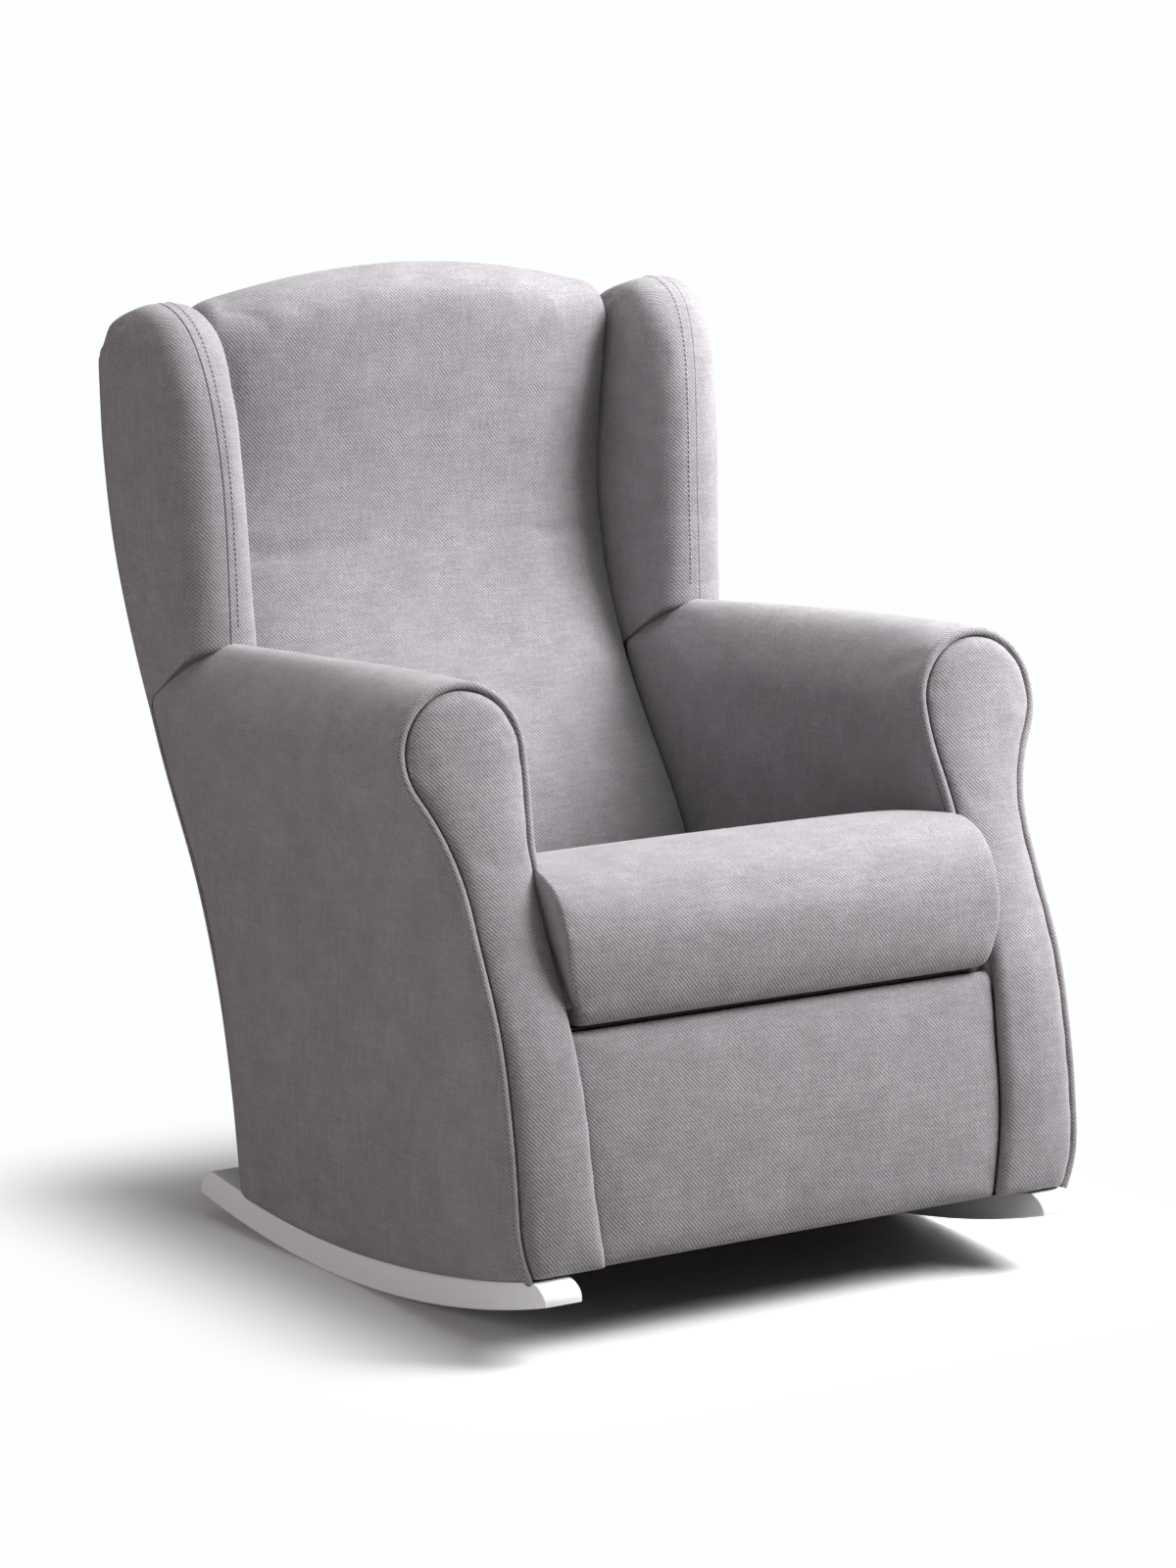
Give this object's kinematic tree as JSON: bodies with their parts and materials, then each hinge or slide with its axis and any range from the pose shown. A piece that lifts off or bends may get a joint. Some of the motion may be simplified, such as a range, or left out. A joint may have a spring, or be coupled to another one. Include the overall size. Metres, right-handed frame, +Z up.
{
  "type": "rocking chair",
  "caption": "Upholstered wing-back rocking armchair with rolled arms, a loose boxed seat cushion and curved timber runners.",
  "frame": {"origin": "on the floor under the middle of the chair's box, with the runners at their middle", "axes": "the chair faces -Y, +X is the sitter's left, +Z is up"},
  "size_m": [0.7596, 0.828, 0.98],
  "materials": {
    "upholstery_cloth": "warm grey soft twill cloth with a light nap, over padding",
    "lacquered_beech": "white satin lacquer",
    "pine": "planed, unfinished",
    "plywood": "raw",
    "hardboard": "raw",
    "zinc_steel": "zinc plated",
    "spring_steel": "oil blackened wire",
    "webbing": "woven elastic",
    "deck_cloth": "plain woven cotton",
    "dust_cloth": "thin black non-woven"
  },
  "bodies": {
    "chair": {"arm_pad_left": "upholstery_cloth", "arm_pad_right": "upholstery_cloth", "arm_rail_left": "pine", "arm_rail_right": "pine", "back_pad": "upholstery_cloth", "back_stile_left": "pine", "back_stile_right": "pine", "back_strap_1": "webbing", "back_strap_2": "webbing", "back_strap_3": "webbing", "back_strap_4": "webbing", "corner_block_back_left": "pine", "corner_block_back_right": "pine", "corner_block_front_left": "pine", "corner_block_front_right": "pine", "crest_rail": "pine", "deck_cloth": "deck_cloth", "dust_cloth": "dust_cloth", "facing_board_left": "hardboard", "facing_board_right": "hardboard", "facing_pad_left": "upholstery_cloth", "facing_pad_right": "upholstery_cloth", "facing_welt_left": "upholstery_cloth", "facing_welt_right": "upholstery_cloth", "foot_rail_left": "pine", "foot_rail_right": "pine", "front_border": "upholstery_cloth", "front_post_left": "pine", "front_post_right": "pine", "low_back_rail": "pine", "low_front_rail": "pine", "lumbar_rail": "pine", "outside_back": "upholstery_cloth", "runner_bolt_left_1": "zinc_steel", "runner_bolt_left_2": "zinc_steel", "runner_bolt_right_1": "zinc_steel", "runner_bolt_right_2": "zinc_steel", "runner_left": "lacquered_beech", "runner_right": "lacquered_beech", "seat_back_rail": "pine", "seat_front_rail": "pine", "seat_side_rail_left": "pine", "seat_side_rail_right": "pine", "seat_spring_1": "spring_steel", "seat_spring_2": "spring_steel", "seat_spring_3": "spring_steel", "seat_spring_4": "spring_steel", "side_cover_left": "upholstery_cloth", "side_cover_right": "upholstery_cloth", "wing_board_left": "plywood", "wing_board_right": "plywood", "wing_cover_left": "upholstery_cloth", "wing_cover_right": "upholstery_cloth", "wing_pad_left": "upholstery_cloth", "wing_pad_right": "upholstery_cloth"},
    "cushion": {"seat_cushion": "upholstery_cloth"}
  },
  "joints": [
    {"name": "cushion_slide", "type": "slide", "parent": "chair", "child": "cushion", "axis": [0, -0.9848, 0.1736], "range_m": [0, 0.25]}
  ]
}
